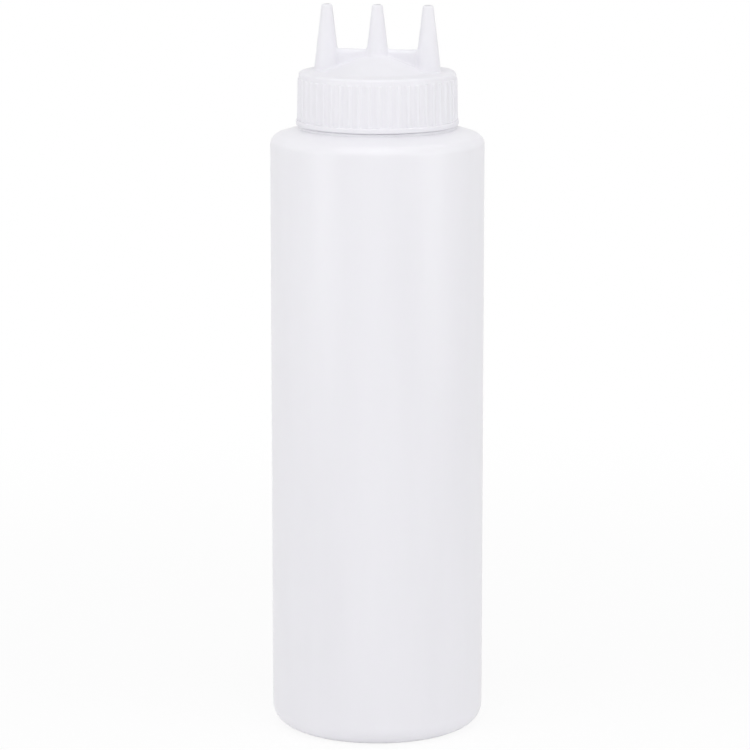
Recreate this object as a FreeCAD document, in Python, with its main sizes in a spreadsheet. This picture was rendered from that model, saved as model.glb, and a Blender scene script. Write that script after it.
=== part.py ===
import FreeCAD, Part
import math
import os
import Sketcher

# A three-nozzle squeeze bottle for sauces, in millimetres, +Z up, standing on Z = 0 at its axis.
# "bottle" is the soft round container, open at its threaded neck. "cap" is the one-piece screw
# cap: a ribbed skirt, a low cone and three tapered nozzles in a row along X, joined by a web.
# The underside of the cap's deck seats on the top of the neck.

SIZES = (
    # the container
    ("body_diameter", 70.0, "outside of the round side wall"),
    ("bottle_height", 216.7, "standing ring to the top of the neck"),
    ("body_wall", 1.2, "thickness of the side wall and the shoulder"),
    ("base_wall", 1.6, "thickness of the base"),
    ("heel_rounding", 6.3, "rounding from the base up into the side wall"),
    ("ring_width", 3.5, "flat standing ring inside the heel"),
    ("ring_rounding", 2.0, "rounding from the standing ring into the hollow base"),
    ("panel_rise", 2.5, "base panel above the standing ring"),
    ("panel_run", 6.0, "width of the slope from the ring up to the base panel"),
    ("panel_rounding", 8.0, "rounding from that slope into the base panel"),
    ("shoulder_rounding", 3.5, "rounding from the side wall into the shoulder"),
    ("shoulder_slope", 16.5, "rise of the shoulder towards the neck, in degrees"),
    # the neck
    ("neck_diameter", 45.2, "outside of the neck, under its thread"),
    ("neck_height", 15.8, "foot of the neck to its top"),
    ("neck_wall", 1.4, "thickness of the neck"),
    ("stop_ring_width", 3.3, "stop ring at the foot of the neck, out from the neck"),
    ("stop_ring_rounding", 0.35, "rounding of both edges of the stop ring"),
    ("neck_foot_rounding", 1.0, "rounding from the stop ring into the neck"),
    ("neck_lip_rounding", 0.3, "rounding of the outer edge at the top of the neck"),
    # the screw ridges on the neck and in the cap
    ("thread_pitch", 4.2, "climb of a ridge in one turn"),
    ("thread_turns", 1.5, "turns of each ridge"),
    ("thread_depth", 1.1, "height of a ridge above its wall"),
    ("thread_root", 1.9, "width of a ridge at its root"),
    ("thread_crest", 0.9, "width of a ridge at its crest"),
    ("thread_start", 4.0, "top of the neck down to the middle of the neck ridge's upper end"),
    ("thread_sink", 0.3, "depth of a ridge's root inside its wall"),
    ("thread_clearance", 0.35, "crest of a ridge to the wall that it faces"),
    # the skirt of the cap
    ("skirt_wall", 1.55, "thickness of the skirt at the deck"),
    ("skirt_gap", 0.1, "foot of the neck up to the lower edge of the skirt"),
    ("skirt_draft", 1.0, "outward lean of the skirt from the deck down, in degrees"),
    ("band_height", 1.7, "plain band along the lower edge of the skirt"),
    ("band_depth", 1.0, "height of the band above the skirt"),
    ("band_rounding", 0.4, "rounding of the band's two edges"),
    ("rib_count", 50, "grip ribs round the skirt"),
    ("rib_width", 1.6, "width of a rib across its round back"),
    ("rib_depth", 0.65, "height of a rib above the skirt"),
    ("rib_end_rounding", 0.55, "rounding of a rib's upper end"),
    ("collar_height", 2.0, "plain collar between the ribs and the deck"),
    # the deck of the cap
    ("deck_wall", 1.6, "thickness of the deck and the cone"),
    ("deck_edge_rounding", 0.9, "rounding of the deck's outer edge"),
    ("cone_inset", 3.7, "bore of the neck in to the foot of the cone"),
    ("cone_slope", 20.5, "rise of the cone towards the axis, in degrees"),
    ("web_height", 7.3, "web's top edge above the deck"),
    ("web_width", 3.0, "thickness of the web between the nozzles"),
    ("web_edge_rounding", 1.2, "rounding of the web's top edge"),
    # the nozzles
    ("nozzle_count", 3, "nozzles in the row"),
    ("nozzle_inset", 4.55, "bore of the neck in to the axis of an outer nozzle"),
    ("nozzle_height", 21.7, "tip of a nozzle above the deck"),
    ("nozzle_foot", 8.6, "diameter of a nozzle at the deck"),
    ("nozzle_foot_rounding", 0.8, "rounding from the deck into a nozzle"),
    ("nozzle_tip", 3.5, "diameter of a nozzle at its tip"),
    ("nozzle_tip_rounding", 0.45, "rounding of a nozzle's tip"),
    ("bore_foot", 6.0, "diameter of a nozzle's bore at the underside of the deck"),
    ("bore_tip", 2.0, "diameter of a nozzle's bore at its tip"),
)

# Radii and heights that more than one feature uses. Those of the cap are above its lower edge.
PLACES = (
    ("body_radius", "Sizes.body_diameter / 2"),
    ("neck_radius", "Sizes.neck_diameter / 2"),
    ("neck_bore_radius", "Places.neck_radius - Sizes.neck_wall"),
    ("stop_ring_radius", "Places.neck_radius + Sizes.stop_ring_width"),
    ("neck_foot_level", "Sizes.bottle_height - Sizes.neck_height"),
    ("ring_radius", "Places.body_radius - Sizes.heel_rounding - Sizes.ring_width"),
    ("panel_radius", "Places.ring_radius - Sizes.panel_run"),
    ("skirt_bore_radius", "Places.neck_radius + Sizes.thread_depth + Sizes.thread_clearance"),
    ("seat_level", "Sizes.neck_height - Sizes.skirt_gap"),
    ("deck_level", "Places.seat_level + Sizes.deck_wall"),
    ("tip_level", "Places.deck_level + Sizes.nozzle_height"),
    ("deck_radius", "Places.skirt_bore_radius + Sizes.skirt_wall"),
    ("cone_radius", "Places.neck_bore_radius - Sizes.cone_inset"),
    ("nozzle_offset", "Places.neck_bore_radius - Sizes.nozzle_inset"),
    ("nozzle_radius", "Sizes.nozzle_foot / 2"),
)

doc = FreeCAD.newDocument("SqueezeBottle")
sheet = doc.addObject("Spreadsheet::Sheet", "Sizes")
for row, (alias, size, meaning) in enumerate(SIZES, start=1):
    sheet.set(f"A{row}", meaning)
    sheet.set(f"B{row}", str(size))
    sheet.setAlias(f"B{row}", alias)
doc.recompute()

places = doc.addObject("App::VarSet", "Places")
for name, expression in PLACES:
    places.addProperty("App::PropertyFloat", name, "Places")
    places.setExpression(name, expression)
    doc.recompute()


def number(expression):
    """Return the number that an expression of the sizes and places gives."""
    return float(sheet.evalExpression(expression))


def new_body(label):
    """Add a body, whose label is also the name of its file."""
    body = doc.addObject("PartDesign::Body", label)
    body.Label = label
    return body


def origin_item(body, role):
    """Return the origin plane or axis of the body that has this role."""
    return next(item for item in body.Origin.OriginFeatures if item.Role == role)


def new_sketch(body, role, name, place):
    """Add a sketch on an origin plane of the body, moved by the expressions in place."""
    sketch = body.newObject("Sketcher::SketchObject", name)
    sketch.AttachmentSupport = (origin_item(body, role), [""])
    sketch.MapMode = "FlatFace"
    for setting, expression in place.items():
        sketch.setExpression(f"AttachmentOffset.{setting}", expression)
    return sketch


def bind(sketch, expression, kind, *where):
    """Add a dimension to a sketch and bind it to an expression."""
    index = sketch.addConstraint(Sketcher.Constraint(kind, *where, number(expression)))
    sketch.setExpression(f"Constraints[{index}]", expression)


def hold_point(sketch, geometry, end, across, up):
    """Dimension a point from the sketch's origin, or lay it on an axis where a distance is 0."""
    for expression, kind, axis in ((across, "DistanceX", -2), (up, "DistanceY", -1)):
        if expression == "0":
            sketch.addConstraint(Sketcher.Constraint("PointOnObject", geometry, end, axis))
        else:
            bind(sketch, expression, kind, -1, 1, geometry, end)


def corner_arc(before, corner, after, radius):
    """Return the arc that rounds a corner, and the points where it meets the two sides."""
    inward = (before - corner).normalize()
    outward = (after - corner).normalize()
    half_angle = inward.getAngle(outward) / 2
    first = corner + inward * (radius / math.tan(half_angle))
    last = corner + outward * (radius / math.tan(half_angle))
    middle_line = (inward + outward).normalize()
    centre = corner + middle_line * (radius / math.sin(half_angle))
    circle = Part.Circle(centre, FreeCAD.Vector(0, 0, 1), radius)
    angles = [math.atan2(point.y - centre.y, point.x - centre.x) for point in (first, last)]
    return circle, angles, first, last


def draw_outline(sketch, corners):
    """Draw a closed outline of straight sides through corners (across, up, rounding or None)."""
    points = [FreeCAD.Vector(number(across), number(up), 0) for across, up, _ in corners]
    ends = list(points)
    starts = list(points)
    arcs = {}
    for index, (_, _, rounding) in enumerate(corners):
        if rounding is None:
            continue
        before = points[index - 1]
        after = points[(index + 1) % len(points)]
        circle, angles, ends[index], starts[index] = corner_arc(
            before, points[index], after, number(rounding))
        turns_left = (points[index] - before).cross(after - points[index]).z > 0
        first, last = angles if turns_left else reversed(angles)
        arc = sketch.addGeometry(Part.ArcOfCircle(circle, first, last), False)
        arcs[index] = (arc, 1, 2) if turns_left else (arc, 2, 1)
    sides = []
    for index, start in enumerate(starts):
        side = Part.LineSegment(start, ends[(index + 1) % len(ends)])
        sides.append(sketch.addGeometry(side, False))
    for index, (across, up, rounding) in enumerate(corners):
        arriving = sides[index - 1]
        leaving = sides[index]
        if rounding is None:
            sketch.addConstraint(Sketcher.Constraint("Coincident", arriving, 2, leaving, 1))
            hold_point(sketch, leaving, 1, across, up)
            continue
        arc, near, far = arcs[index]
        sketch.addConstraint(Sketcher.Constraint("Tangent", arriving, 2, arc, near))
        sketch.addConstraint(Sketcher.Constraint("Tangent", arc, far, leaving, 1))
        bind(sketch, rounding, "Radius", arc)
        corner = sketch.addGeometry(Part.Point(points[index]), True)
        sketch.addConstraint(Sketcher.Constraint("PointOnObject", corner, 1, arriving))
        sketch.addConstraint(Sketcher.Constraint("PointOnObject", corner, 1, leaving))
        hold_point(sketch, corner, 1, across, up)
    doc.recompute()


def add_feature(body, kind, name, bound=None, **settings):
    """Add a feature as the body's tip, with plain settings and settings bound to expressions."""
    feature = body.newObject(kind, name)
    for setting, value in settings.items():
        setattr(feature, setting, value)
    for setting, expression in (bound or {}).items():
        feature.setExpression(setting, expression)
    body.Tip = feature
    doc.recompute()
    return feature


def turn_outline(body, kind, name, corners, **place):
    """Revolve an outline in the XZ plane about its sketch's upright axis, to add or remove."""
    sketch = new_sketch(body, "XZ_Plane", f"{name}Outline", place)
    draw_outline(sketch, corners)
    return add_feature(body, kind, name, Profile=sketch, ReferenceAxis=(sketch, ["V_Axis"]))


def wind_ridge(body, name, wall_radius, outward, level):
    """Wind a screw ridge on a round wall, outward (+) or inward (-), up from this level.

    The ridge in the cap starts half a turn's climb lower than the one on the neck, so that each
    runs midway between the turns of the other.
    """
    sketch = new_sketch(body, "XZ_Plane", f"{name}Outline", {
        "Base.y": f"{level} - Sizes.thread_root / 2",
    })
    root = f"{wall_radius} {'-' if outward == '+' else '+'} Sizes.thread_sink"
    crest = f"{wall_radius} {outward} Sizes.thread_depth"
    draw_outline(sketch, (
        (root, "0", None),
        (crest, "(Sizes.thread_root - Sizes.thread_crest) / 2", None),
        (crest, "(Sizes.thread_root + Sizes.thread_crest) / 2", None),
        (root, "Sizes.thread_root", None),
    ))
    add_feature(body, "PartDesign::AdditiveHelix", name, Profile=sketch,
                ReferenceAxis=(sketch, ["V_Axis"]), Mode="pitch-turns-angle",
                bound={"Pitch": "Sizes.thread_pitch", "Turns": "Sizes.thread_turns"})


def make_bottle():
    """Make the container: hollow base, straight side wall, shoulder, stop ring and neck."""
    body = new_body("bottle")
    rise = "tan(Sizes.shoulder_slope)"
    wall_top = f"Places.neck_foot_level - (Places.body_radius - Places.neck_radius) * {rise}"
    ring_foot = f"Places.neck_foot_level - Sizes.stop_ring_width * {rise}"
    turn_outline(body, "PartDesign::Revolution", "Outside", (
        ("0", "Sizes.panel_rise", None),
        ("Places.panel_radius", "Sizes.panel_rise", "Sizes.panel_rounding"),
        ("Places.ring_radius", "0", "Sizes.ring_rounding"),
        ("Places.body_radius", "0", "Sizes.heel_rounding"),
        ("Places.body_radius", wall_top, "Sizes.shoulder_rounding"),
        ("Places.stop_ring_radius", ring_foot, "Sizes.stop_ring_rounding"),
        ("Places.stop_ring_radius", "Places.neck_foot_level", "Sizes.stop_ring_rounding"),
        ("Places.neck_radius", "Places.neck_foot_level", "Sizes.neck_foot_rounding"),
        ("Places.neck_radius", "Sizes.bottle_height", "Sizes.neck_lip_rounding"),
        ("0", "Sizes.bottle_height", None),
    ))
    inner_radius = "Places.body_radius - Sizes.body_wall"
    under_shoulder = "Places.neck_foot_level - Sizes.body_wall / cos(Sizes.shoulder_slope)"
    inner_top = f"{under_shoulder} - ({inner_radius} - Places.neck_radius) * {rise}"
    panel_top = "Sizes.panel_rise + Sizes.base_wall"
    turn_outline(body, "PartDesign::Groove", "Inside", (
        ("0", panel_top, None),
        ("Places.panel_radius", panel_top, "Sizes.panel_rounding - Sizes.base_wall"),
        ("Places.ring_radius", "Sizes.base_wall", "Sizes.ring_rounding + Sizes.base_wall"),
        (inner_radius, "Sizes.base_wall", "Sizes.heel_rounding - Sizes.body_wall"),
        (inner_radius, inner_top, "Sizes.shoulder_rounding - Sizes.body_wall"),
        ("Places.neck_bore_radius", f"{under_shoulder} + Sizes.neck_wall * {rise}",
         "Sizes.neck_foot_rounding + Sizes.body_wall"),
        ("Places.neck_bore_radius", "Sizes.bottle_height", None),
        ("0", "Sizes.bottle_height", None),
    ))
    wind_ridge(body, "NeckRidge", "Places.neck_radius", "+",
               "Sizes.bottle_height - Sizes.thread_start - Sizes.thread_pitch * Sizes.thread_turns")
    return body


def skirt_radius(level):
    """Give the outside of the skirt at a level above its lower edge, as an expression."""
    return f"(Places.deck_radius + (Places.deck_level - {level}) * tan(Sizes.skirt_draft))"


def add_ribs(body):
    """Stand round-backed grip ribs on the skirt, from inside the band up to the collar."""
    foot = "Sizes.band_height / 2"
    length = f"(Places.deck_level - Sizes.collar_height - {foot}) / cos(Sizes.skirt_draft)"
    rib = turn_outline(body, "PartDesign::Revolution", "Rib", (
        ("0", "0", None),
        ("Sizes.rib_width / 2", "0", None),
        ("Sizes.rib_width / 2", length, "Sizes.rib_end_rounding"),
        ("0", length, None),
    ), **{
        "Base.x": f"{skirt_radius(foot)} + Sizes.rib_depth - Sizes.rib_width / 2",
        "Base.y": foot,
        "Rotation.Angle": "Sizes.skirt_draft",
    })
    add_feature(body, "PartDesign::PolarPattern", "Ribs", Originals=[rib],
                Axis=(origin_item(body, "Z_Axis"), [""]),
                bound={"Occurrences": "Sizes.rib_count"})


def add_web(body):
    """Pad the upright web between the outer nozzles, with its top edge rounded."""
    sketch = new_sketch(body, "YZ_Plane", "WebOutline", {"Base.x": "-Sizes.web_width / 2"})
    top = "Places.deck_level + Sizes.web_height"
    draw_outline(sketch, (
        ("0", "Places.seat_level", None),
        ("Sizes.web_width", "Places.seat_level", None),
        ("Sizes.web_width", top, "Sizes.web_edge_rounding"),
        ("0", top, "Sizes.web_edge_rounding"),
    ))
    add_feature(body, "PartDesign::Pad", "Web", Profile=sketch, Midplane=True,
                bound={"Length": "2 * Places.nozzle_offset"})


def add_row(body, name, nozzle_feature):
    """Repeat a feature of the nozzle at +X along the row, to the nozzle at -X."""
    add_feature(body, "PartDesign::LinearPattern", name, Originals=[nozzle_feature],
                Direction=(origin_item(body, "X_Axis"), [""]), Reversed=True,
                bound={"Length": "2 * Places.nozzle_offset", "Occurrences": "Sizes.nozzle_count"})


def add_nozzles(body):
    """Stand the tapered nozzles on the deck, with their feet rounded into it."""
    foot_disc = "Places.nozzle_radius + 2 * Sizes.nozzle_foot_rounding"
    nozzle = turn_outline(body, "PartDesign::Revolution", "Nozzle", (
        ("0", "Places.seat_level", None),
        (foot_disc, "Places.seat_level", None),
        (foot_disc, "Places.deck_level", None),
        ("Places.nozzle_radius", "Places.deck_level", "Sizes.nozzle_foot_rounding"),
        ("Sizes.nozzle_tip / 2", "Places.tip_level", "Sizes.nozzle_tip_rounding"),
        ("0", "Places.tip_level", None),
    ), **{"Base.x": "Places.nozzle_offset"})
    add_row(body, "Nozzles", nozzle)


def add_bores(body):
    """Bore the nozzles through, tapering from the underside of the deck to the tips."""
    bore = turn_outline(body, "PartDesign::Groove", "Bore", (
        ("0", "Places.seat_level", None),
        ("Sizes.bore_foot / 2", "Places.seat_level", None),
        ("Sizes.bore_tip / 2", "Places.tip_level", None),
        ("0", "Places.tip_level", None),
    ), **{"Base.x": "Places.nozzle_offset"})
    add_row(body, "Bores", bore)


def make_cap():
    """Make the cap, open underneath: band, skirt, deck, cone, ribs, web, nozzles and ridge."""
    body = new_body("cap")
    body.setExpression("Placement.Base.z", "Places.neck_foot_level + Sizes.skirt_gap")
    band_radius = f"{skirt_radius('Sizes.band_height')} + Sizes.band_depth"
    rise = "tan(Sizes.cone_slope)"
    turn_outline(body, "PartDesign::Revolution", "Outside", (
        ("0", "0", None),
        (band_radius, "0", "Sizes.band_rounding"),
        (band_radius, "Sizes.band_height", "Sizes.band_rounding"),
        (skirt_radius("Sizes.band_height"), "Sizes.band_height", None),
        ("Places.deck_radius", "Places.deck_level", "Sizes.deck_edge_rounding"),
        ("Places.cone_radius", "Places.deck_level", None),
        ("0", f"Places.deck_level + Places.cone_radius * {rise}", None),
    ))
    add_ribs(body)
    add_web(body)
    add_nozzles(body)
    inner_cone_radius = "(Places.cone_radius - Sizes.deck_wall * tan(Sizes.cone_slope / 2))"
    turn_outline(body, "PartDesign::Groove", "Inside", (
        ("0", "0", None),
        ("Places.skirt_bore_radius", "0", None),
        ("Places.skirt_bore_radius", "Places.seat_level", None),
        (inner_cone_radius, "Places.seat_level", None),
        ("0", f"Places.seat_level + {inner_cone_radius} * {rise}", None),
    ))
    add_bores(body)
    wind_ridge(body, "CapRidge", "Places.skirt_bore_radius", "-",
               "Places.seat_level - Sizes.thread_start - Sizes.thread_pitch * (Sizes.thread_turns + 0.5)")
    return body


def check_model(bodies):
    """Stop if an object of the document failed, or a piece isn't one valid solid."""
    for item in doc.Objects:
        if "Invalid" in item.State or "Error" in item.State:
            raise RuntimeError(f"{item.Name} failed: {item.State}")
        if item.TypeId == "Sketcher::SketchObject" and not item.FullyConstrained:
            raise RuntimeError(f"{item.Name} is not fully constrained")
    for body in bodies:
        if body.Shape.isNull() or not body.Shape.isValid() or len(body.Shape.Solids) != 1:
            raise RuntimeError(f"{body.Label} is not one valid solid")
        volume = 0.0
        for feature in body.Group:
            if not feature.isDerivedFrom("PartDesign::Feature"):
                continue
            removes = feature.Name.startswith(("Inside", "Bore"))
            if (feature.Shape.Volume < volume) != removes:
                raise RuntimeError(f"{feature.Name} adds or removes the wrong way")
            volume = feature.Shape.Volume


def write_parts(bodies):
    """Write each piece, at its place in the whole, to a file named after it."""
    os.makedirs("parts", exist_ok=True)
    for body in bodies:
        body.Shape.exportStep(f"parts/{body.Label}.step")
        print(f"{body.Label}: {body.Shape.Volume / 1000:.2f} cm3")


pieces = (make_bottle(), make_cap())
check_model(pieces)
write_parts(pieces)
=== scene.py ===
"""Looks of a squeeze bottle with a three-nozzle screw cap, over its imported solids.

Lengths are in metres, angles in radians and powers in watts.
"""
import math

import bmesh
import bpy
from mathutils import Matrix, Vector


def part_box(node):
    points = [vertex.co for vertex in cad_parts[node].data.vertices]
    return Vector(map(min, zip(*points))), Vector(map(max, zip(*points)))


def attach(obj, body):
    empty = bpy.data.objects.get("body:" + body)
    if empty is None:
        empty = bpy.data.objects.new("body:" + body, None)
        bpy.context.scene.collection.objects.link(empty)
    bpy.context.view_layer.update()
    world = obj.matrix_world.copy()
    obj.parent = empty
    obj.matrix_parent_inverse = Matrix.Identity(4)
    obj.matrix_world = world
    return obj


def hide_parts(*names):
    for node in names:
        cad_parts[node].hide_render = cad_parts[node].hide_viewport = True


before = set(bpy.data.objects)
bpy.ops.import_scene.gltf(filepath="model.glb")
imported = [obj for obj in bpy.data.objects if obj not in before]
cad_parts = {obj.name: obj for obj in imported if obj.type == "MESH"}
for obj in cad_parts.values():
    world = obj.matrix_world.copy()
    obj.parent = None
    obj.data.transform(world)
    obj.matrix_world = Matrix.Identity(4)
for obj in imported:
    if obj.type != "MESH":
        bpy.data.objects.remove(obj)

bl_info = {
    "name": "Squeeze bottle",
    "version": (1, 0, 0),
    "blender": (4, 5, 0),
    "location": "View3D > Sidebar > Bottle",
    "description": "Models a milky squeeze bottle and its three-nozzle screw cap",
    "category": "Object",
}

MM = 0.001
FULL_TURN = 2 * math.pi
UP = Vector((0, 0, 1))
SAME_PLACE = 0.002 * MM       # points nearer than this are one point
SEAM = 0.05 * MM              # narrow strip or play left where two meshes are joined
SHELF_STRIP = 0.01 * MM       # flat left inside the band's upper rounding
RIB_PLAY = 0.005 * MM         # how far past a rib's back its feet are looked for
LOOKS_UP = 0.5                # a face whose normal rises more than this looks up
FILL_PLAY = 0.1 * MM          # play round the edges between which the deck is filled
LEVEL_PLAY = 0.02 * MM        # a point this near a height is at that height
OVERSHOOT = MM                # how far a cutting piece stands out of what it cuts
BOTTLE_STEPS = 160            # steps round the turned forms
CONE_STEPS = 96
NOZZLE_STEPS = 64
BORE_STEPS = 48
DECK_STEPS = 192
RIB_BACK_STEPS = 9            # steps over a rib's round back
RIB_END_STEPS = 5             # steps up a rib's rounded end
RIB_FOOT_STEPS = 2
LEAST_DEPTH = 0.01            # share of its depth that a rib keeps at its very end
WEB_EDGE_STEPS = 6
SMOOTHING = 0.5               # how far one round of smoothing moves a point
WIDE_BEND = math.radians(11)  # turn of each step in a rounding over 1 mm
SMALL_BEND = math.radians(20)  # the same in a smaller rounding
SMOOTH_UNDER = math.radians(40)  # edges that turn less than this look smooth
BOTTLE_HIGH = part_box("bottle")[1]
CAP_LOW, CAP_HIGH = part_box("cap")
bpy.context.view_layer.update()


# ---------------------------------------------------------------- sizes and colours

def length(name, description, default):
    """Describe a length that a user may change."""
    return bpy.props.FloatProperty(name=name, description=description, default=default,
                                   min=0.0, precision=5, unit="LENGTH", subtype="DISTANCE")


def slope(name, description, degrees):
    """Describe an angle that a user may change."""
    return bpy.props.FloatProperty(name=name, description=description,
                                   default=math.radians(degrees), subtype="ANGLE")


def colour(name, description, default):
    """Describe a colour that a user may change."""
    return bpy.props.FloatVectorProperty(name=name, description=description, default=default,
                                         size=3, min=0.0, max=1.0, subtype="COLOR")


def share(name, description, default):
    """Describe a share from 0 to 1 that a user may change."""
    return bpy.props.FloatProperty(name=name, description=description, default=default,
                                   min=0.0, max=1.0, subtype="FACTOR")


def count(name, description, default, least=1):
    """Describe a whole number that a user may change."""
    return bpy.props.IntProperty(name=name, description=description, default=default, min=least)


def power(name, description, watts):
    """Describe a lamp's power that a user may change."""
    return bpy.props.FloatProperty(name=name, description=description, default=watts,
                                   min=0.0, unit="POWER")


class BottleSizes(bpy.types.PropertyGroup):
    """Sizes of the blown container."""
    body_radius: length("Body radius", "Axis to the side wall", BOTTLE_HIGH.x)
    height: length("Height", "Standing ring to the top of the neck", BOTTLE_HIGH.z)
    wall: length("Wall", "Thickness of the side wall", 1.2 * MM)
    base_wall: length("Base wall", "Thickness of the base", 1.6 * MM)
    heel_rounding: length("Heel rounding", "Side wall into the standing ring", 6.3 * MM)
    ring_width: length("Ring width", "Flat that the bottle stands on", 3.5 * MM)
    ring_rounding: length("Ring rounding", "Standing ring into the hollow base", 2.0 * MM)
    panel_rise: length("Base hollow", "Base panel above the standing ring", 2.5 * MM)
    panel_run: length("Base slope", "Width of the slope up to the base panel", 6.0 * MM)
    panel_rounding: length("Base rounding", "Slope into the base panel", 8.0 * MM)
    shoulder_rounding: length("Shoulder rounding", "Side wall into the shoulder", 3.5 * MM)
    shoulder_slope: slope("Shoulder slope", "Rise of the shoulder to the neck", 16.5)
    neck_radius: length("Neck radius", "Axis to the outside of the neck", 22.6 * MM)
    neck_height: length("Neck height", "Foot of the neck to its top", 15.8 * MM)
    neck_wall: length("Neck wall", "Thickness of the neck", 1.4 * MM)
    neck_foot_rounding: length("Neck foot rounding", "Stop ring into the neck", 1.0 * MM)
    stop_ring_width: length("Stop ring width", "Ring under the cap, out from the neck", 3.3 * MM)
    stop_ring_rounding: length("Stop ring rounding", "Both edges of the ring", 0.35 * MM)
    neck_lip_rounding: length("Neck lip rounding", "Outer edge of the neck's top", 0.3 * MM)


class CapSizes(bpy.types.PropertyGroup):
    """Sizes of the moulded cap."""
    skirt_bore: length("Skirt bore", "Axis to the inside of the skirt", 24.05 * MM)
    skirt_wall: length("Skirt wall", "Thickness of the skirt at the deck", 1.55 * MM)
    skirt_draft: slope("Skirt draft", "Outward lean of the skirt, going down", 1.0)
    rim_rounding: length("Rim rounding", "Inner edge of the skirt's rim", 0.2 * MM)
    band_height: length("Band height", "Plain band along the lower edge", 1.7 * MM)
    band_depth: length("Band depth", "Height of the band above the skirt", 0.7 * MM)
    band_foot_rounding: length("Band foot rounding", "Lower edge of the band", 0.4 * MM)
    band_rounding: length("Band rounding", "Upper edge of the band", 0.22 * MM)
    rib_count: count("Ribs", "Grip ribs round the skirt", 50, least=12)
    rib_width: length("Rib width", "Across the round back of a rib", 2.0 * MM)
    rib_depth: length("Rib depth", "Height of a rib above the skirt", 0.4 * MM)
    rib_foot_rounding: length("Rib foot rounding", "Rib into the skirt", 0.5 * MM)
    rib_end_rounding: length("Rib end rounding", "Upper end of a rib", 0.55 * MM)
    collar_height: length("Collar height", "Plain collar above the ribs", 2.0 * MM)
    deck_wall: length("Deck wall", "Thickness of the deck", 1.6 * MM)
    deck_edge_rounding: length("Deck edge rounding", "Collar into the deck", 0.9 * MM)
    cone_radius: length("Cone radius", "Foot of the low cone", 17.5 * MM)
    cone_slope: slope("Cone slope", "Rise of the cone to the axis", 20.5)
    web_height: length("Web height", "Web's top above the deck", 7.3 * MM)
    web_width: length("Web width", "Thickness of the web", 3.0 * MM)
    web_edge_rounding: length("Web edge rounding", "Web's top edges", 1.2 * MM)
    nozzle_count: count("Nozzles", "Nozzles in the row", 3, least=2)
    nozzle_spread: length("Nozzle spread", "Axis to an outer nozzle", 16.65 * MM)
    nozzle_height: length("Nozzle height", "Tip of a nozzle above the deck", 21.7 * MM)
    nozzle_foot: length("Nozzle foot", "Radius of a nozzle at the deck", 4.3 * MM)
    nozzle_tip: length("Nozzle tip", "Radius of a nozzle at its tip", 1.75 * MM)
    nozzle_tip_rounding: length("Nozzle tip rounding", "Edge of a nozzle's tip", 0.65 * MM)
    bore_foot: length("Bore foot", "Radius of a bore under the deck", 3.0 * MM)
    bore_tip: length("Bore tip", "Radius of a bore at the tip", 1.0 * MM)
    deck_margin: length("Deck margin", "Flat deck modelled beyond the nozzles", 1.8 * MM)
    deck_strip: length("Deck strip", "Strip that closes the deck round its forms", 0.4 * MM)
    grain: length("Modelling grain", "Step of the surface over the deck's forms", 0.25 * MM)
    melting: count("Melting", "Rounds of smoothing where the deck's forms meet", 12)
    tip_length: length("Tip length", "Top of a nozzle that keeps its crisp edge", 1.2 * MM)
    tip_melting: count("Tip melting", "Rounds of smoothing on the tips", 2)


class Finish(bpy.types.PropertyGroup):
    """Colours and gloss of the plastics."""
    bottle_colour: colour("Bottle", "Milky soft plastic", (0.855, 0.847, 0.888))
    cap_colour: colour("Cap", "Milky firm plastic", (0.845, 0.838, 0.878))
    bottle_roughness: share("Bottle roughness", "Satin of the blown wall", 0.34)
    cap_roughness: share("Cap roughness", "Satin of the moulded cap", 0.45)
    bottle_milkiness: share("Bottle milkiness", "Light that spreads inside the wall", 0.5)
    cap_milkiness: share("Cap milkiness", "Light that spreads inside the cap", 0.3)
    bottle_spread: length("Bottle spread", "How far light spreads in the wall", 1.2 * MM)
    cap_spread: length("Cap spread", "How far light spreads in the cap", 1.2 * MM)
    bottle_cloud: length("Bottle clouds", "Size of the wall's pale clouds", 14 * MM)
    cap_cloud: length("Cap clouds", "Size of the cap's pale clouds", 6 * MM)
    bottle_ripple: length("Bottle ripple", "Size of the blown wall's ripples", 2.5 * MM)
    bottle_ripple_height: length("Bottle ripple height", "Height of the ripples", 0.03 * MM)
    cap_grain: length("Cap grain", "Size of the cap's satin grain", 0.7 * MM)
    cap_grain_height: length("Cap grain height", "Height of the grain", 0.01 * MM)


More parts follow.
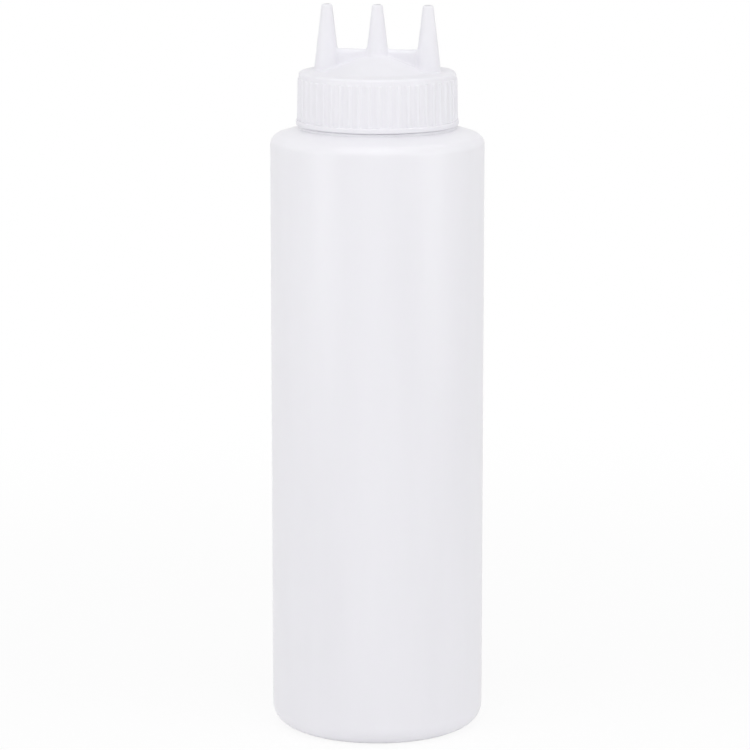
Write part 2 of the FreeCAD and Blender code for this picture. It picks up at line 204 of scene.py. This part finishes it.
class StudioSettings(bpy.types.PropertyGroup):
    """Floor, lamps and camera."""
    floor_colour: colour("Floor", "Pale floor", (0.96, 0.96, 0.96))
    floor_size: length("Floor size", "Side of the floor", 60.0)
    shadow_share: share("Shadow", "Share of the floor's look that its shadow keeps", 0.12)
    shadow_full: length("Full shadow", "Distance at which the shadow starts to fade", 0.125)
    shadow_reach: length("Shadow reach", "Distance at which the shadow has faded", 0.5)
    room_light: share("Room light", "Even light from all round", 0.53)
    side_power: power("Side lamps", "Each lamp beside the camera", 1.9)
    side_turn: slope("Side lamps' turn", "Each side lamp round from the camera", 60.0)
    side_distance: length("Side lamps' distance", "Axis to each side lamp", 0.9)
    side_height: length("Side lamps' height", "Floor to their middle", 0.25)
    side_width: length("Side lamps' width", "Width of each side lamp", 0.4)
    side_tall: length("Side lamps' length", "Upright length of each side lamp", 0.8)
    overhead_power: power("Overhead lamp", "Lamp over the bottle", 1.6)
    front_power: power("Front lamp", "Lamp high in front", 5.0)
    front_distance: length("Front lamp's distance", "Axis to the lamp high in front", 0.7)
    high_lamps_height: length("High lamps' height", "Floor to the two high lamps", 1.2)
    high_lamps_size: length("High lamps' size", "Side of the two high lamps", 1.2)
    lamp_aim: length("Lamps' aim", "Height that the lamps face", 125 * MM)
    camera_distance: length("Camera distance", "Camera to the bottle", 1.2)
    camera_aim: length("Camera aim", "Height that the camera looks at", 117.6 * MM)
    camera_side_aim: length("Camera side aim", "The camera's aim left of the axis", 0.8 * MM)
    camera_lens: bpy.props.FloatProperty(name="Camera lens", description="Focal length in mm",
                                         default=174.2, min=1.0)
    camera_pitch: slope("Camera pitch", "Camera's look downwards", 11.0)
    camera_turn: slope("Camera turn", "Camera's turn round the bottle", 9.5)


# ---------------------------------------------------------------- modelling by hand

def put_down():
    """Leave edit mode and select nothing, so that the next operator acts on new work alone."""
    if bpy.context.object and bpy.context.object.mode != "OBJECT":
        bpy.ops.object.mode_set(mode="OBJECT")
    bpy.ops.object.select_all(action="DESELECT")


def pick_up(*pieces):
    """Select these pieces alone, the first one active."""
    put_down()
    for piece in pieces:
        piece.select_set(True)
    bpy.context.view_layer.objects.active = pieces[0]


def open_up(piece, mode="VERT", action="DESELECT"):
    """Go into edit mode on one piece, with nothing or everything selected."""
    pick_up(piece)
    bpy.ops.object.mode_set(mode="EDIT")
    bpy.ops.mesh.select_mode(type=mode)
    bpy.ops.mesh.select_all(action=action)


def choose(piece, kind, wanted):
    """In edit mode, select the verts, edges or faces that pass the test, and return how many."""
    bpy.ops.mesh.select_mode(type={"verts": "VERT", "edges": "EDGE", "faces": "FACE"}[kind])
    bpy.ops.mesh.select_all(action="DESELECT")
    shape = bmesh.from_edit_mesh(piece.data)
    chosen = [part for part in getattr(shape, kind) if wanted(part)]
    for part in chosen:
        part.select_set(True)
    shape.select_flush_mode()
    bmesh.update_edit_mesh(piece.data)
    return len(chosen)


def is_at(vert, place):
    """Say whether a vertex is at a place."""
    return (vert.co - place).length < SAME_PLACE


def reach(vert):
    """Distance of a vertex from the bottle's axis."""
    return math.hypot(vert.co.x, vert.co.y)


def draw_line(name, corners):
    """Draw straight runs through (radius, height, rounding) corners, and round them."""
    places = [Vector((radius, 0, height)) for radius, height, _ in corners]
    put_down()
    bpy.ops.mesh.primitive_plane_add(size=MM)
    line = bpy.context.object
    line.name = line.data.name = name
    open_up(line, action="SELECT")
    bpy.ops.mesh.merge(type="CENTER")
    bpy.ops.transform.translate(value=places[0])
    for start, end in zip(places, places[1:]):
        bpy.ops.mesh.extrude_region_move(TRANSFORM_OT_translate={"value": end - start})
    for index in range(1, len(places) - 1):
        rounding = corners[index][2]
        if rounding:
            turn = (places[index] - places[index - 1]).angle(places[index + 1] - places[index])
            choose(line, "verts", lambda vert: is_at(vert, places[index]))
            bend = WIDE_BEND if rounding > MM else SMALL_BEND
            bpy.ops.mesh.bevel(affect="VERTICES", offset=rounding * math.tan(turn / 2),
                               segments=max(2, math.ceil(turn / bend)))
    return line


def turn_line(line, steps, angle=FULL_TURN):
    """Spin a line about the bottle's axis, close its seam and poles, and face it outwards."""
    bpy.ops.mesh.select_all(action="SELECT")
    bpy.ops.mesh.spin(steps=steps, angle=-angle, center=(0, 0, 0), axis=UP)
    bpy.ops.mesh.select_all(action="SELECT")
    bpy.ops.mesh.remove_doubles(threshold=SAME_PLACE)
    bpy.ops.mesh.normals_make_consistent(inside=False)
    bpy.ops.object.mode_set(mode="OBJECT")
    return line


def combine(*pieces):
    """Join pieces into the first one."""
    pick_up(*pieces)
    bpy.ops.object.join()
    return pieces[0]


def settle(piece):
    """Put a piece's place, turn and size into its mesh."""
    pick_up(piece)
    bpy.ops.object.transform_apply(location=True, rotation=True, scale=True)


def apply_modifier(piece, kind, **settings):
    """Add a modifier with these settings and apply it."""
    pick_up(piece)
    modifier = piece.modifiers.new(kind, kind)
    for name, value in settings.items():
        setattr(modifier, name, value)
    bpy.ops.object.modifier_apply(modifier=modifier.name)


def cut_with(piece, tool, operation):
    """Cut, join or keep a piece by another closed piece, which is then thrown away."""
    apply_modifier(piece, "BOOLEAN", operation=operation, object=tool, solver="MANIFOLD")
    bpy.data.objects.remove(tool)


def hand_over(piece, node, material):
    """Smooth a finished piece, give it its plastic, and let it stand for its solid."""
    pick_up(piece)
    bpy.ops.object.shade_smooth_by_angle(angle=SMOOTH_UNDER)
    piece.data.materials.clear()
    piece.data.materials.append(material)
    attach(piece, "root")
    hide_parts(node)


# ---------------------------------------------------------------- the container

def model_bottle(sizes):
    """Turn the container's wall, outside and inside, in one closed line."""
    rise = math.tan(sizes.shoulder_slope)
    radius, wall, base = sizes.body_radius, sizes.wall, sizes.base_wall
    neck, bore = sizes.neck_radius, sizes.neck_radius - sizes.neck_wall
    ring = radius - sizes.heel_rounding - sizes.ring_width
    panel = ring - sizes.panel_run
    neck_foot = sizes.height - sizes.neck_height
    stop_ring = neck + sizes.stop_ring_width
    under = neck_foot - wall / math.cos(sizes.shoulder_slope)
    line = draw_line("bottle_shell", (
        (0, sizes.panel_rise, 0),
        (panel, sizes.panel_rise, sizes.panel_rounding),
        (ring, 0, sizes.ring_rounding),
        (radius, 0, sizes.heel_rounding),
        (radius, neck_foot - (radius - neck) * rise, sizes.shoulder_rounding),
        (stop_ring, neck_foot - (stop_ring - neck) * rise, sizes.stop_ring_rounding),
        (stop_ring, neck_foot, sizes.stop_ring_rounding),
        (neck, neck_foot, sizes.neck_foot_rounding),
        (neck, sizes.height, sizes.neck_lip_rounding),
        (bore, sizes.height, 0),
        (bore, under + sizes.neck_wall * rise, sizes.neck_foot_rounding + wall),
        (radius - wall, under - (radius - wall - neck) * rise, sizes.shoulder_rounding - wall),
        (radius - wall, base, sizes.heel_rounding - wall),
        (ring, base, sizes.ring_rounding + base),
        (panel, sizes.panel_rise + base, sizes.panel_rounding - base),
        (0, sizes.panel_rise + base, 0),
    ))
    return turn_line(line, BOTTLE_STEPS)


# ---------------------------------------------------------------- the cap

def levels_of(sizes):
    """Heights of the cap's rim, band, ribs and deck."""
    deck = CAP_HIGH.z - sizes.nozzle_height
    return {
        "rim": CAP_LOW.z,
        "band": CAP_LOW.z + sizes.band_height,
        "rib_top": deck - sizes.collar_height,
        "deck": deck,
        "seat": deck - sizes.deck_wall,
    }


def skirt_radius(sizes, level):
    """Outside of the skirt at a height."""
    return (sizes.skirt_bore + sizes.skirt_wall
            + (levels_of(sizes)["deck"] - level) * math.tan(sizes.skirt_draft))


def model_rib(sizes):
    """Model one rib with its share of the skirt beside it."""
    levels = levels_of(sizes)
    half_share = FULL_TURN / sizes.rib_count / 2
    foot = skirt_radius(sizes, levels["band"])
    back = sizes.rib_width / 2
    centre = Vector((foot + sizes.rib_depth - back, 0, levels["band"]))
    half_back = math.acos((foot - centre.x) / back)
    feet = [Vector((foot, side * back * math.sin(half_back), centre.z)) for side in (-1, 1)]
    edges = [Vector((foot * math.cos(half_share), side * foot * math.sin(half_share), centre.z))
             for side in (-1, 1)]
    put_down()
    bpy.ops.mesh.primitive_plane_add(size=MM)
    rib = bpy.context.object
    rib.name = rib.data.name = "rib"
    open_up(rib, action="SELECT")
    bpy.ops.mesh.merge(type="CENTER")
    bpy.ops.transform.translate(value=edges[0])
    bpy.ops.mesh.extrude_region_move(TRANSFORM_OT_translate={"value": feet[0] - edges[0]})
    bpy.ops.mesh.spin(steps=RIB_BACK_STEPS, angle=-2 * half_back, center=centre, axis=UP)
    bpy.ops.mesh.extrude_region_move(TRANSFORM_OT_translate={"value": edges[1] - feet[1]})
    for place in feet:
        choose(rib, "verts", lambda vert: is_at(vert, place))
        bpy.ops.mesh.bevel(affect="VERTICES", offset=sizes.rib_foot_rounding,
                           segments=RIB_FOOT_STEPS)
    columns = len(bmesh.from_edit_mesh(rib.data).edges)

    def raise_line(to_level, from_level):
        """Extrude the top line of the rib, and follow the draft."""
        narrower = skirt_radius(sizes, to_level) / skirt_radius(sizes, from_level)
        bpy.ops.mesh.extrude_region_move(
            TRANSFORM_OT_translate={"value": (0, 0, to_level - from_level)})
        bpy.ops.transform.resize(value=(narrower, narrower, 1), center_override=(0, 0, to_level))

    bpy.ops.mesh.select_all(action="SELECT")
    straight_top = levels["rib_top"] - sizes.rib_end_rounding
    raise_line(straight_top, levels["band"])
    level, depth = straight_top, 1.0
    for step in range(1, RIB_END_STEPS + 1):
        turn = step / RIB_END_STEPS * math.pi / 2
        next_level = straight_top + sizes.rib_end_rounding * math.sin(turn)
        raise_line(next_level, level)
        level = next_level
        wall = skirt_radius(sizes, level)
        choose(rib, "verts", lambda vert: vert.co.z > level - SAME_PLACE and vert.co.x > wall)
        next_depth = max(math.cos(turn), LEAST_DEPTH)
        bpy.ops.transform.resize(value=(next_depth / depth, 1, 1),
                                 center_override=(wall, 0, level))
        depth = next_depth
        choose(rib, "verts", lambda vert: vert.co.z > level - SAME_PLACE)
    bpy.ops.object.mode_set(mode="OBJECT")
    return rib, columns, level


def bridge(piece, row_a, row_b):
    """Join two open rows of edges with faces."""
    choose(piece, "edges", lambda edge: edge.is_boundary and (
        all(row_a(vert) for vert in edge.verts) or all(row_b(vert) for vert in edge.verts)))
    bpy.ops.mesh.bridge_edge_loops()


def fill_between(piece, rows):
    """Fill the flat face inside an outer loop of edges and round its holes."""
    choose(piece, "edges", lambda edge: edge.is_boundary and all(rows(vert) for vert in edge.verts))
    bpy.ops.mesh.fill()


def at_level(height, inner=0.0, outer=1.0):
    """Make a test for vertices at a height, between two radii."""
    return lambda vert: (abs(vert.co.z - height) < LEVEL_PLAY and inner < reach(vert) < outer)


def deck_ring(sizes):
    """Radius out to which the deck is modelled with its nozzles."""
    return sizes.nozzle_spread + sizes.nozzle_foot + sizes.deck_margin


def model_skirt(sizes):
    """Model one rib's share of the skirt, band, collar and deck edge, and repeat it round."""
    levels = levels_of(sizes)
    part_turn = FULL_TURN / sizes.rib_count
    rib, columns, rib_end = model_rib(sizes)
    band_radius = skirt_radius(sizes, levels["band"]) + sizes.band_depth
    band_shelf = band_radius - sizes.band_rounding - SHELF_STRIP
    lower = turn_line(draw_line("band", (
        (sizes.skirt_bore, levels["seat"], 0),
        (sizes.skirt_bore, levels["rim"], sizes.rim_rounding),
        (band_radius, levels["rim"], sizes.band_foot_rounding),
        (band_radius, levels["band"], sizes.band_rounding),
        (band_shelf, levels["band"], 0),
    )), columns, part_turn)
    collar_foot = rib_end + SEAM
    upper = turn_line(draw_line("collar", (
        (skirt_radius(sizes, collar_foot), collar_foot, 0),
        (skirt_radius(sizes, levels["deck"]), levels["deck"], sizes.deck_edge_rounding),
        (deck_ring(sizes) + sizes.deck_strip, levels["deck"], 0),
    )), columns, part_turn)
    for piece in (lower, upper):
        piece.rotation_euler.z = -part_turn / 2
        settle(piece)
    skirt = combine(rib, lower, upper)
    open_up(skirt)
    rib_reach = skirt_radius(sizes, levels["band"]) + sizes.rib_depth + RIB_PLAY
    bridge(skirt, at_level(levels["band"], outer=rib_reach),
           at_level(levels["band"], inner=rib_reach, outer=band_shelf + SAME_PLACE))
    bridge(skirt, at_level(rib_end), at_level(collar_foot))
    bpy.ops.mesh.select_all(action="SELECT")
    bpy.ops.mesh.spin(steps=sizes.rib_count, dupli=True, angle=FULL_TURN, center=(0, 0, 0), axis=UP)
    bpy.ops.mesh.select_all(action="SELECT")
    bpy.ops.mesh.remove_doubles(threshold=SAME_PLACE)
    bpy.ops.mesh.normals_make_consistent(inside=False)
    bpy.ops.object.mode_set(mode="OBJECT")
    return skirt


def spread_nozzles(sizes):
    """Places of the nozzles along the row."""
    step = 2 * sizes.nozzle_spread / (sizes.nozzle_count - 1)
    return [index * step - sizes.nozzle_spread for index in range(sizes.nozzle_count)]


def repeat_along_row(piece, sizes):
    """Copy a piece modelled on the axis to each nozzle's place."""
    row = []
    for place in spread_nozzles(sizes):
        pick_up(piece)
        bpy.ops.object.duplicate(linked=False)
        copy = bpy.context.object
        copy.location.x = place
        settle(copy)
        row.append(copy)
    bpy.data.objects.remove(piece)
    return combine(*row)


def model_web(sizes, foot_level):
    """Model the upright web with its rounded top between the outer nozzles."""
    top = levels_of(sizes)["deck"] + sizes.web_height
    put_down()
    bpy.ops.mesh.primitive_cube_add(size=1, location=(0, 0, (foot_level + top) / 2), scale=(
        2 * sizes.nozzle_spread, sizes.web_width, top - foot_level))
    web = bpy.context.object
    settle(web)
    open_up(web)
    choose(web, "edges", lambda edge: all(v.co.z > top - SAME_PLACE for v in edge.verts)
           and abs(edge.verts[0].co.x - edge.verts[1].co.x) > sizes.nozzle_spread)
    bpy.ops.mesh.bevel(offset=sizes.web_edge_rounding, segments=WEB_EDGE_STEPS,
                       clamp_overlap=False)
    bpy.ops.object.mode_set(mode="OBJECT")
    return web


def model_deck_forms(sizes):
    """Melt the cone, the web and the nozzles into the deck, and bore the nozzles."""
    levels = levels_of(sizes)
    deck, tip, ring = levels["deck"], CAP_HIGH.z, deck_ring(sizes)
    root = levels["seat"] - 2 * OVERSHOOT
    tip_foot = tip - sizes.tip_length
    taper = (sizes.nozzle_foot - sizes.nozzle_tip) / sizes.nozzle_height
    bore_taper = (sizes.bore_foot - sizes.bore_tip) / (tip - levels["seat"])
    cone = turn_line(draw_line("cone", (
        (0, root, 0),
        (ring + OVERSHOOT, root, 0),
        (ring + OVERSHOOT, deck, 0),
        (sizes.cone_radius, deck, 0),
        (0, deck + sizes.cone_radius * math.tan(sizes.cone_slope), 0),
    )), CONE_STEPS)
    nozzle = turn_line(draw_line("nozzle", (
        (0, root, 0),
        (sizes.nozzle_foot + (deck - root) * taper, root, 0),
        (sizes.nozzle_tip, tip, sizes.nozzle_tip_rounding),
        (0, tip, 0),
    )), NOZZLE_STEPS)
    forms = combine(cone, model_web(sizes, root), repeat_along_row(nozzle, sizes))
    apply_modifier(forms, "REMESH", mode="VOXEL", voxel_size=sizes.grain, adaptivity=0.0)
    open_up(forms)
    choose(forms, "verts", lambda vert: deck - OVERSHOOT < vert.co.z < tip_foot
           and reach(vert) < ring)
    bpy.ops.mesh.vertices_smooth(factor=SMOOTHING, repeat=sizes.melting)
    choose(forms, "verts", lambda vert: vert.co.z >= tip_foot)
    bpy.ops.mesh.vertices_smooth(factor=SMOOTHING, repeat=sizes.tip_melting)
    bpy.ops.object.mode_set(mode="OBJECT")
    bore = turn_line(draw_line("bore", (
        (0, root - OVERSHOOT, 0),
        (sizes.bore_foot + (levels["seat"] - root + OVERSHOOT) * bore_taper, root - OVERSHOOT, 0),
        (sizes.bore_tip - OVERSHOOT * bore_taper, tip + OVERSHOOT, 0),
        (0, tip + OVERSHOOT, 0),
    )), BORE_STEPS)
    cut_with(forms, repeat_along_row(bore, sizes), "DIFFERENCE")
    disc = turn_line(draw_line("disc", (
        (0, levels["seat"], 0),
        (ring, levels["seat"], 0),
        (ring, tip + OVERSHOOT, 0),
        (0, tip + OVERSHOOT, 0),
    )), DECK_STEPS)
    cut_with(forms, disc, "INTERSECT")
    open_up(forms)
    choose(forms, "faces", lambda face: all(
        vert.co.z < levels["seat"] + SAME_PLACE or reach(vert) > ring - SEAM
        for vert in face.verts) and face.normal.z < LOOKS_UP)
    bpy.ops.mesh.delete(type="FACE")
    bpy.ops.object.mode_set(mode="OBJECT")
    return forms


def model_cap(sizes):
    """Join the deck's forms to the ribbed skirt, and close the deck above and below."""
    levels = levels_of(sizes)
    ring = deck_ring(sizes)
    cap = combine(model_skirt(sizes), model_deck_forms(sizes))
    cap.name = cap.data.name = "screw_cap"
    open_up(cap)
    fill_between(cap, lambda vert: abs(vert.co.z - levels["deck"]) < FILL_PLAY
                 and -FILL_PLAY < reach(vert) - ring < sizes.deck_strip + FILL_PLAY)
    fill_between(cap, lambda vert: abs(vert.co.z - levels["seat"]) < FILL_PLAY)
    bpy.ops.mesh.select_all(action="SELECT")
    bpy.ops.mesh.remove_doubles(threshold=SAME_PLACE)
    bpy.ops.object.mode_set(mode="OBJECT")
    hollow = sizes.cone_radius - sizes.deck_wall * math.tan(sizes.cone_slope / 2)
    rise = math.tan(sizes.cone_slope)
    under_cone = turn_line(draw_line("under_cone", (
        (0, levels["seat"] - OVERSHOOT, 0),
        (hollow + OVERSHOOT / rise, levels["seat"] - OVERSHOOT, 0),
        (0, levels["seat"] + hollow * rise, 0),
    )), CONE_STEPS)
    cut_with(cap, under_cone, "DIFFERENCE")
    return cap


# ---------------------------------------------------------------- the plastics

PLASTIC_IOR = 1.5
SPREAD_BY_COLOUR = (1.0, 0.95, 1.0)   # how far red, green and blue light spread, of the whole
BOTTLE_CLOUD_DRAW = (1, 1, 0.12)      # a share under 1 draws a pattern out that way
CAP_CLOUD_DRAW = (1, 1, 0.4)
RIPPLE_DRAW = (1, 1, 0.25)
EVEN_DRAW = (1, 1, 1)
BOTTLE_CLOUD_DEPTH = 0.012            # how much a cloud lightens or darkens the colour
CAP_CLOUD_DEPTH = 0.01
CLOUD_START, CLOUD_END = 0.3, 0.7     # part of the noise over which a cloud fades
CLOUD_DETAIL, RELIEF_DETAIL = 3.0, 2.0
RELIEF_STRENGTH = 0.4


def add_node(tree, kind, settings=None, **inputs):
    """Add a node, set its own settings and its sockets' values."""
    node = tree.nodes.new(kind)
    for name, value in (settings or {}).items():
        setattr(node, name, value)
    for name, value in inputs.items():
        node.inputs[name.replace("_", " ")].default_value = value
    return node


def link(tree, source, output, target, socket):
    """Link one node's output to another node's socket."""
    tree.links.new(source.outputs[output], target.inputs[socket])


def start_plastic(name, roughness, milkiness, spread):
    """Make a plastic whose constant gloss and milkiness sit on the shader itself."""
    material = bpy.data.materials.new(name)
    material.use_nodes = True
    tree = material.node_tree
    shader = tree.nodes["Principled BSDF"]
    shader.inputs["Roughness"].default_value = roughness
    shader.inputs["IOR"].default_value = PLASTIC_IOR
    shader.inputs["Subsurface Weight"].default_value = milkiness
    shader.inputs["Subsurface Radius"].default_value = SPREAD_BY_COLOUR
    shader.inputs["Subsurface Scale"].default_value = spread
    place = add_node(tree, "ShaderNodeTexCoord")
    return material, tree, shader, place


def cloud_colour(tree, place, tint, grain, stretch, depth):
    """Vary a colour softly over the surface, as the wall's thickness does in milky plastic."""
    mapping = add_node(tree, "ShaderNodeMapping", Scale=stretch)
    link(tree, place, "Object", mapping, "Vector")
    cloud = add_node(tree, "ShaderNodeTexNoise", Scale=1 / grain, Detail=CLOUD_DETAIL)
    link(tree, mapping, "Vector", cloud, "Vector")
    ramp = add_node(tree, "ShaderNodeValToRGB")
    ramp.color_ramp.elements[0].position = CLOUD_START
    ramp.color_ramp.elements[1].position = CLOUD_END
    ramp.color_ramp.elements[0].color = (*[channel * (1 - depth) for channel in tint], 1)
    ramp.color_ramp.elements[1].color = (*[min(channel * (1 + depth), 1) for channel in tint], 1)
    link(tree, cloud, "Fac", ramp, "Fac")
    return ramp


def fine_relief(tree, place, shader, grain, stretch, height):
    """Give the surface its fine moulded or blown relief."""
    mapping = add_node(tree, "ShaderNodeMapping", Scale=stretch)
    link(tree, place, "Object", mapping, "Vector")
    relief = add_node(tree, "ShaderNodeTexNoise", Scale=1 / grain, Detail=RELIEF_DETAIL)
    link(tree, mapping, "Vector", relief, "Vector")
    bump = add_node(tree, "ShaderNodeBump", Strength=RELIEF_STRENGTH, Distance=height)
    link(tree, relief, "Fac", bump, "Height")
    link(tree, bump, "Normal", shader, "Normal")


def blown_plastic(finish):
    """Milky blown wall: soft clouds drawn out upwards and a faint rippled surface."""
    material, tree, shader, place = start_plastic(
        "milky_blown_plastic", finish.bottle_roughness,
        finish.bottle_milkiness, finish.bottle_spread)
    clouds = cloud_colour(tree, place, finish.bottle_colour, finish.bottle_cloud,
                          BOTTLE_CLOUD_DRAW, BOTTLE_CLOUD_DEPTH)
    link(tree, clouds, "Color", shader, "Base Color")
    fine_relief(tree, place, shader, finish.bottle_ripple, RIPPLE_DRAW,
                finish.bottle_ripple_height)
    return material


def moulded_plastic(finish):
    """Milky moulded cap: finer clouds and a fine satin grain."""
    material, tree, shader, place = start_plastic(
        "milky_moulded_plastic", finish.cap_roughness,
        finish.cap_milkiness, finish.cap_spread)
    clouds = cloud_colour(tree, place, finish.cap_colour, finish.cap_cloud,
                          CAP_CLOUD_DRAW, CAP_CLOUD_DEPTH)
    link(tree, clouds, "Color", shader, "Base Color")
    fine_relief(tree, place, shader, finish.cap_grain, EVEN_DRAW, finish.cap_grain_height)
    return material


# ---------------------------------------------------------------- the studio

def seen_directly(tree):
    """Give 1 to the camera and to what mirrors or lets through the surroundings, else 0."""
    path = add_node(tree, "ShaderNodeLightPath")
    total = None
    for ray in ("Is Camera Ray", "Is Glossy Ray", "Is Transmission Ray"):
        if total is None:
            total = path.outputs[ray]
            continue
        either = add_node(tree, "ShaderNodeMath", {"operation": "MAXIMUM"})
        tree.links.new(total, either.inputs[0])
        tree.links.new(path.outputs[ray], either.inputs[1])
        total = either.outputs[0]
    return total


def lay_floor(studio):
    """Lay a pale floor that looks white and keeps the bottle's soft shadow."""
    put_down()
    bpy.ops.mesh.primitive_plane_add(size=studio.floor_size)
    floor = bpy.context.object
    floor.name = floor.data.name = "floor"
    material = bpy.data.materials.new("pale_floor")
    material.use_nodes = True
    tree = material.node_tree
    tree.nodes.clear()
    matt = add_node(tree, "ShaderNodeBsdfDiffuse", Color=(*studio.floor_colour, 1))
    bright = add_node(tree, "ShaderNodeEmission", Color=(1, 1, 1, 1), Strength=1.0)
    place = add_node(tree, "ShaderNodeTexCoord")
    away = add_node(tree, "ShaderNodeVectorMath", {"operation": "LENGTH"})
    link(tree, place, "Object", away, "Vector")
    fade = add_node(tree, "ShaderNodeMapRange", {"interpolation_type": "SMOOTHSTEP"})
    link(tree, away, "Value", fade, "Value")
    for socket, value in (("From Min", studio.shadow_full), ("From Max", studio.shadow_reach),
                          ("To Min", 1 - studio.shadow_share), ("To Max", 1.0)):
        fade.inputs[socket].default_value = value
    amount = add_node(tree, "ShaderNodeMath", {"operation": "MULTIPLY"})
    tree.links.new(seen_directly(tree), amount.inputs[0])
    tree.links.new(fade.outputs["Result"], amount.inputs[1])
    mixed = add_node(tree, "ShaderNodeMixShader")
    out = add_node(tree, "ShaderNodeOutputMaterial")
    link(tree, amount, 0, mixed, "Fac")
    tree.links.new(matt.outputs[0], mixed.inputs[1])
    tree.links.new(bright.outputs[0], mixed.inputs[2])
    link(tree, mixed, 0, out, "Surface")
    floor.data.materials.append(material)


def light_room(studio):
    """Light the object evenly from all round, and show white behind it."""
    world = bpy.data.worlds.new("room")
    bpy.context.scene.world = world
    world.use_nodes = True
    tree = world.node_tree
    tree.nodes.clear()
    even = add_node(tree, "ShaderNodeBackground", Color=(1, 1, 1, 1), Strength=studio.room_light)
    white = add_node(tree, "ShaderNodeBackground", Color=(1, 1, 1, 1), Strength=1.0)
    mixed = add_node(tree, "ShaderNodeMixShader")
    out = add_node(tree, "ShaderNodeOutputWorld")
    tree.links.new(seen_directly(tree), mixed.inputs[0])
    tree.links.new(even.outputs[0], mixed.inputs[1])
    tree.links.new(white.outputs[0], mixed.inputs[2])
    link(tree, mixed, 0, out, "Surface")


def round_from_front(turn, distance, height):
    """Give the place at a turn round the bottle from its front, as seen from above."""
    return Vector((math.sin(turn) * distance, -math.cos(turn) * distance, height))


def hang_lamp(name, place, aim, width, height, watts):
    """Hang a soft rectangular lamp that faces the bottle."""
    lamp = bpy.data.lights.new(name, "AREA")
    lamp.shape = "RECTANGLE"
    lamp.size, lamp.size_y, lamp.energy = width, height, watts
    holder = bpy.data.objects.new(name, lamp)
    bpy.context.scene.collection.objects.link(holder)
    holder.location = place
    holder.rotation_euler = (aim - place).to_track_quat("-Z", "Y").to_euler()


def hang_lamps(studio):
    """Hang a lamp on each side of the camera, one overhead and one high in front."""
    aim = Vector((0, 0, studio.lamp_aim))
    for name, side in (("left_lamp", -1), ("right_lamp", 1)):
        place = round_from_front(studio.camera_turn + side * studio.side_turn,
                                 studio.side_distance, studio.side_height)
        hang_lamp(name, place, aim, studio.side_width, studio.side_tall, studio.side_power)
    for name, distance, watts in (("overhead_lamp", 0, studio.overhead_power),
                                  ("front_lamp", studio.front_distance, studio.front_power)):
        place = round_from_front(studio.camera_turn, distance, studio.high_lamps_height)
        hang_lamp(name, place, aim, studio.high_lamps_size, studio.high_lamps_size, watts)


def stand_camera(studio):
    """Stand the camera in front, a little above, looking slightly down."""
    camera = bpy.data.cameras.new("camera")
    camera.lens = studio.camera_lens
    holder = bpy.data.objects.new("camera", camera)
    bpy.context.scene.collection.objects.link(holder)
    back = round_from_front(studio.camera_turn,
                            math.cos(studio.camera_pitch), math.sin(studio.camera_pitch))
    aim = Vector((-studio.camera_side_aim, 0, studio.camera_aim))
    holder.location = aim + back * studio.camera_distance
    holder.rotation_euler = (-back).to_track_quat("-Z", "Y").to_euler()
    bpy.context.scene.camera = holder


# ---------------------------------------------------------------- operators and panel

class ModelBottle(bpy.types.Operator):
    """Model the container and give it its plastic"""
    bl_idname = "squeeze_bottle.model_bottle"
    bl_label = "Model bottle"

    def execute(self, context):
        scene = context.scene
        hand_over(model_bottle(scene.bottle_sizes), "bottle",
                  blown_plastic(scene.bottle_finish))
        return {"FINISHED"}


class ModelCap(bpy.types.Operator):
    """Model the ribbed cap with its web and nozzles, and give it its plastic"""
    bl_idname = "squeeze_bottle.model_cap"
    bl_label = "Model cap"

    def execute(self, context):
        scene = context.scene
        hand_over(model_cap(scene.cap_sizes), "cap", moulded_plastic(scene.bottle_finish))
        return {"FINISHED"}


class SetStudio(bpy.types.Operator):
    """Lay the floor, light the room and stand the camera"""
    bl_idname = "squeeze_bottle.set_studio"
    bl_label = "Set studio"

    def execute(self, context):
        studio = context.scene.bottle_studio
        lay_floor(studio)
        light_room(studio)
        hang_lamps(studio)
        stand_camera(studio)
        context.scene.view_settings.view_transform = "Standard"
        return {"FINISHED"}


class SqueezeBottlePanel(bpy.types.Panel):
    """The bottle's sizes, colours and steps"""
    bl_idname = "VIEW3D_PT_squeeze_bottle"
    bl_label = "Squeeze bottle"
    bl_space_type = "VIEW_3D"
    bl_region_type = "UI"
    bl_category = "Bottle"

    def draw(self, context):
        for group, steps in GROUPS_AND_STEPS:
            box = self.layout.box()
            settings = getattr(context.scene, group)
            for name in settings.bl_rna.properties.keys():
                if name not in ("rna_type", "name"):
                    box.prop(settings, name)
            for step in steps:
                box.operator(step)


GROUPS_AND_STEPS = (
    ("bottle_sizes", ("squeeze_bottle.model_bottle",)),
    ("cap_sizes", ("squeeze_bottle.model_cap",)),
    ("bottle_finish", ()),
    ("bottle_studio", ("squeeze_bottle.set_studio",)),
)
GROUP_TYPES = {"bottle_sizes": BottleSizes, "cap_sizes": CapSizes,
               "bottle_finish": Finish, "bottle_studio": StudioSettings}
CLASSES = (*GROUP_TYPES.values(), ModelBottle, ModelCap, SetStudio, SqueezeBottlePanel)


def register():
    """Register the classes and hang the settings on the scene."""
    for kind in CLASSES:
        bpy.utils.register_class(kind)
    for name, kind in GROUP_TYPES.items():
        setattr(bpy.types.Scene, name, bpy.props.PointerProperty(type=kind))


def unregister():
    """Take the settings off the scene and unregister the classes."""
    for name in GROUP_TYPES:
        delattr(bpy.types.Scene, name)
    for kind in reversed(CLASSES):
        bpy.utils.unregister_class(kind)


def main():
    """Model and dress the bottle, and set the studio."""
    register()
    for step in (bpy.ops.squeeze_bottle.model_bottle, bpy.ops.squeeze_bottle.model_cap,
                 bpy.ops.squeeze_bottle.set_studio):
        step()
    put_down()


if __name__ == "__main__":
    main()
